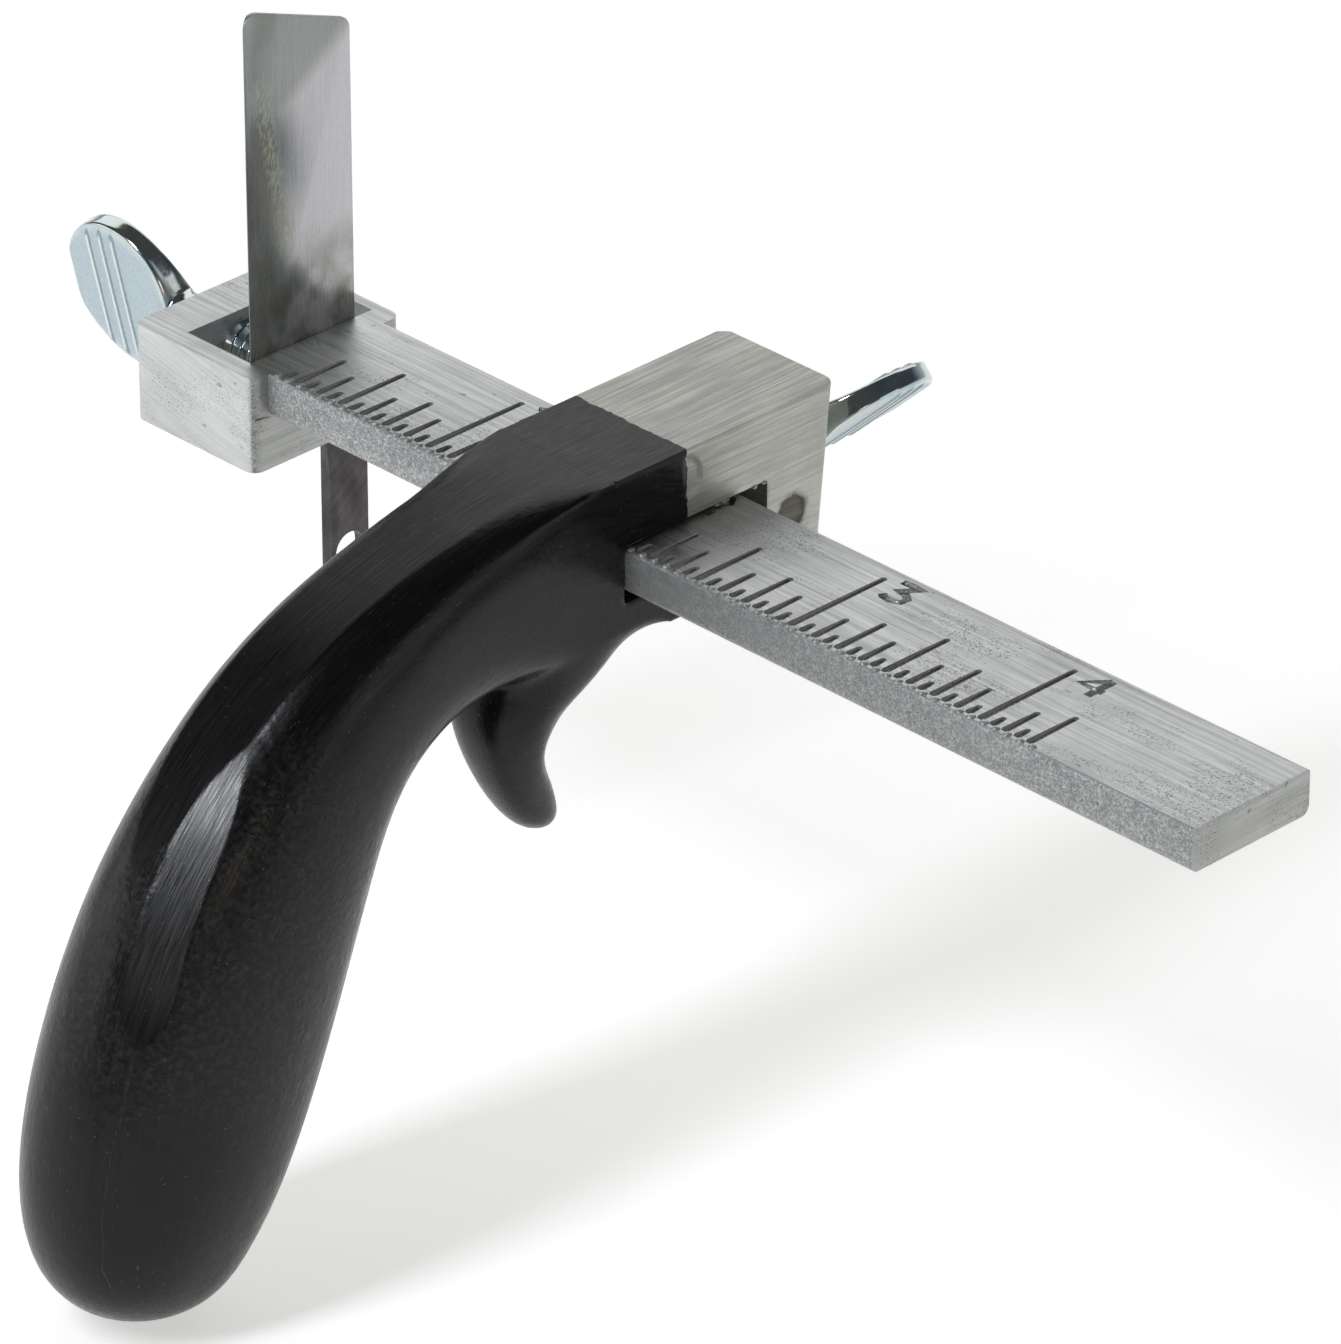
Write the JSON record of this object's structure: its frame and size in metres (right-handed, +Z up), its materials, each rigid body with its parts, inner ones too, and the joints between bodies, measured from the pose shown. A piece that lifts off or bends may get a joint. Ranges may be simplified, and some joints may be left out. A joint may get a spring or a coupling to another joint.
{
  "type": "strap cutter",
  "caption": "Pistol-grip leather strap cutter: a graduated bar slides through the handle's nose and carries an upright clamped blade, so strap width is read off the bar.",
  "frame": {"origin": "on the fence, the nose's flat side that faces the blade, on the gauge bar's centre line and midway up the strip of fence below the bar, where the strap's edge runs", "axes": "+X runs along the gauge bar from the blade towards the bar's free end, +Y runs across the bar away from the grip, +Z is up out of the bar's graduated face"},
  "size_m": [0.1648, 0.1179, 0.1026],
  "materials": {
    "enamelled_casting": "black satin enamel over cast aluminium, bare brushed metal at the nose",
    "bare_casting": "cast aluminium, top and ends linished, sides as cast",
    "blade_steel": "polished spring steel",
    "toe_steel": "dark hardened steel, ground at one corner",
    "zinc_plate": "bright blue-white zinc plating over forged steel"
  },
  "bodies": {
    "handle": {"handle_casting": "enamelled_casting"},
    "bar": {"gauge_bar": "bare_casting", "blade_toe": "toe_steel"},
    "blade": {"blade": "blade_steel"},
    "blade_screw": {"blade_screw_shank": "zinc_plate"},
    "blade_wing": {"blade_screw_wing": "zinc_plate"},
    "lock_screw": {"lock_screw_shank": "zinc_plate"},
    "lock_wing": {"lock_screw_wing": "zinc_plate"}
  },
  "joints": [
    {"name": "bar_slide", "type": "slide", "parent": "handle", "child": "bar", "axis": [1, 0, 0], "range_m": [-0.06925, 0.0352]},
    {"name": "blade_slide", "type": "slide", "parent": "bar", "child": "blade", "axis": [0, 0, 1], "range_m": [-0.022, 0.003]},
    {"name": "blade_screw_advance", "type": "slide", "parent": "bar", "child": "blade_screw", "axis": [-1, 0, 0], "range_m": [0, 0.00508]},
    {"name": "blade_screw_turn", "type": "hinge", "parent": "blade_screw", "child": "blade_wing", "pos_m": [-0.0552, 0, 0.0037], "axis": [-1, 0, 0], "range_deg": [0, 1440]},
    {"name": "lock_screw_advance", "type": "slide", "parent": "handle", "child": "lock_screw", "axis": [0, 1, 0], "range_m": [0, 0.00508]},
    {"name": "lock_screw_turn", "type": "hinge", "parent": "lock_screw", "child": "lock_wing", "pos_m": [0.00795, 0.022, 0.00575], "axis": [0, 1, 0], "range_deg": [0, 1440]}
  ],
  "couplings": [
    {"joint": "blade_screw_advance", "follows": "blade_screw_turn", "m_per_rad": 0.00020213},
    {"joint": "lock_screw_advance", "follows": "lock_screw_turn", "m_per_rad": 0.00020213}
  ]
}
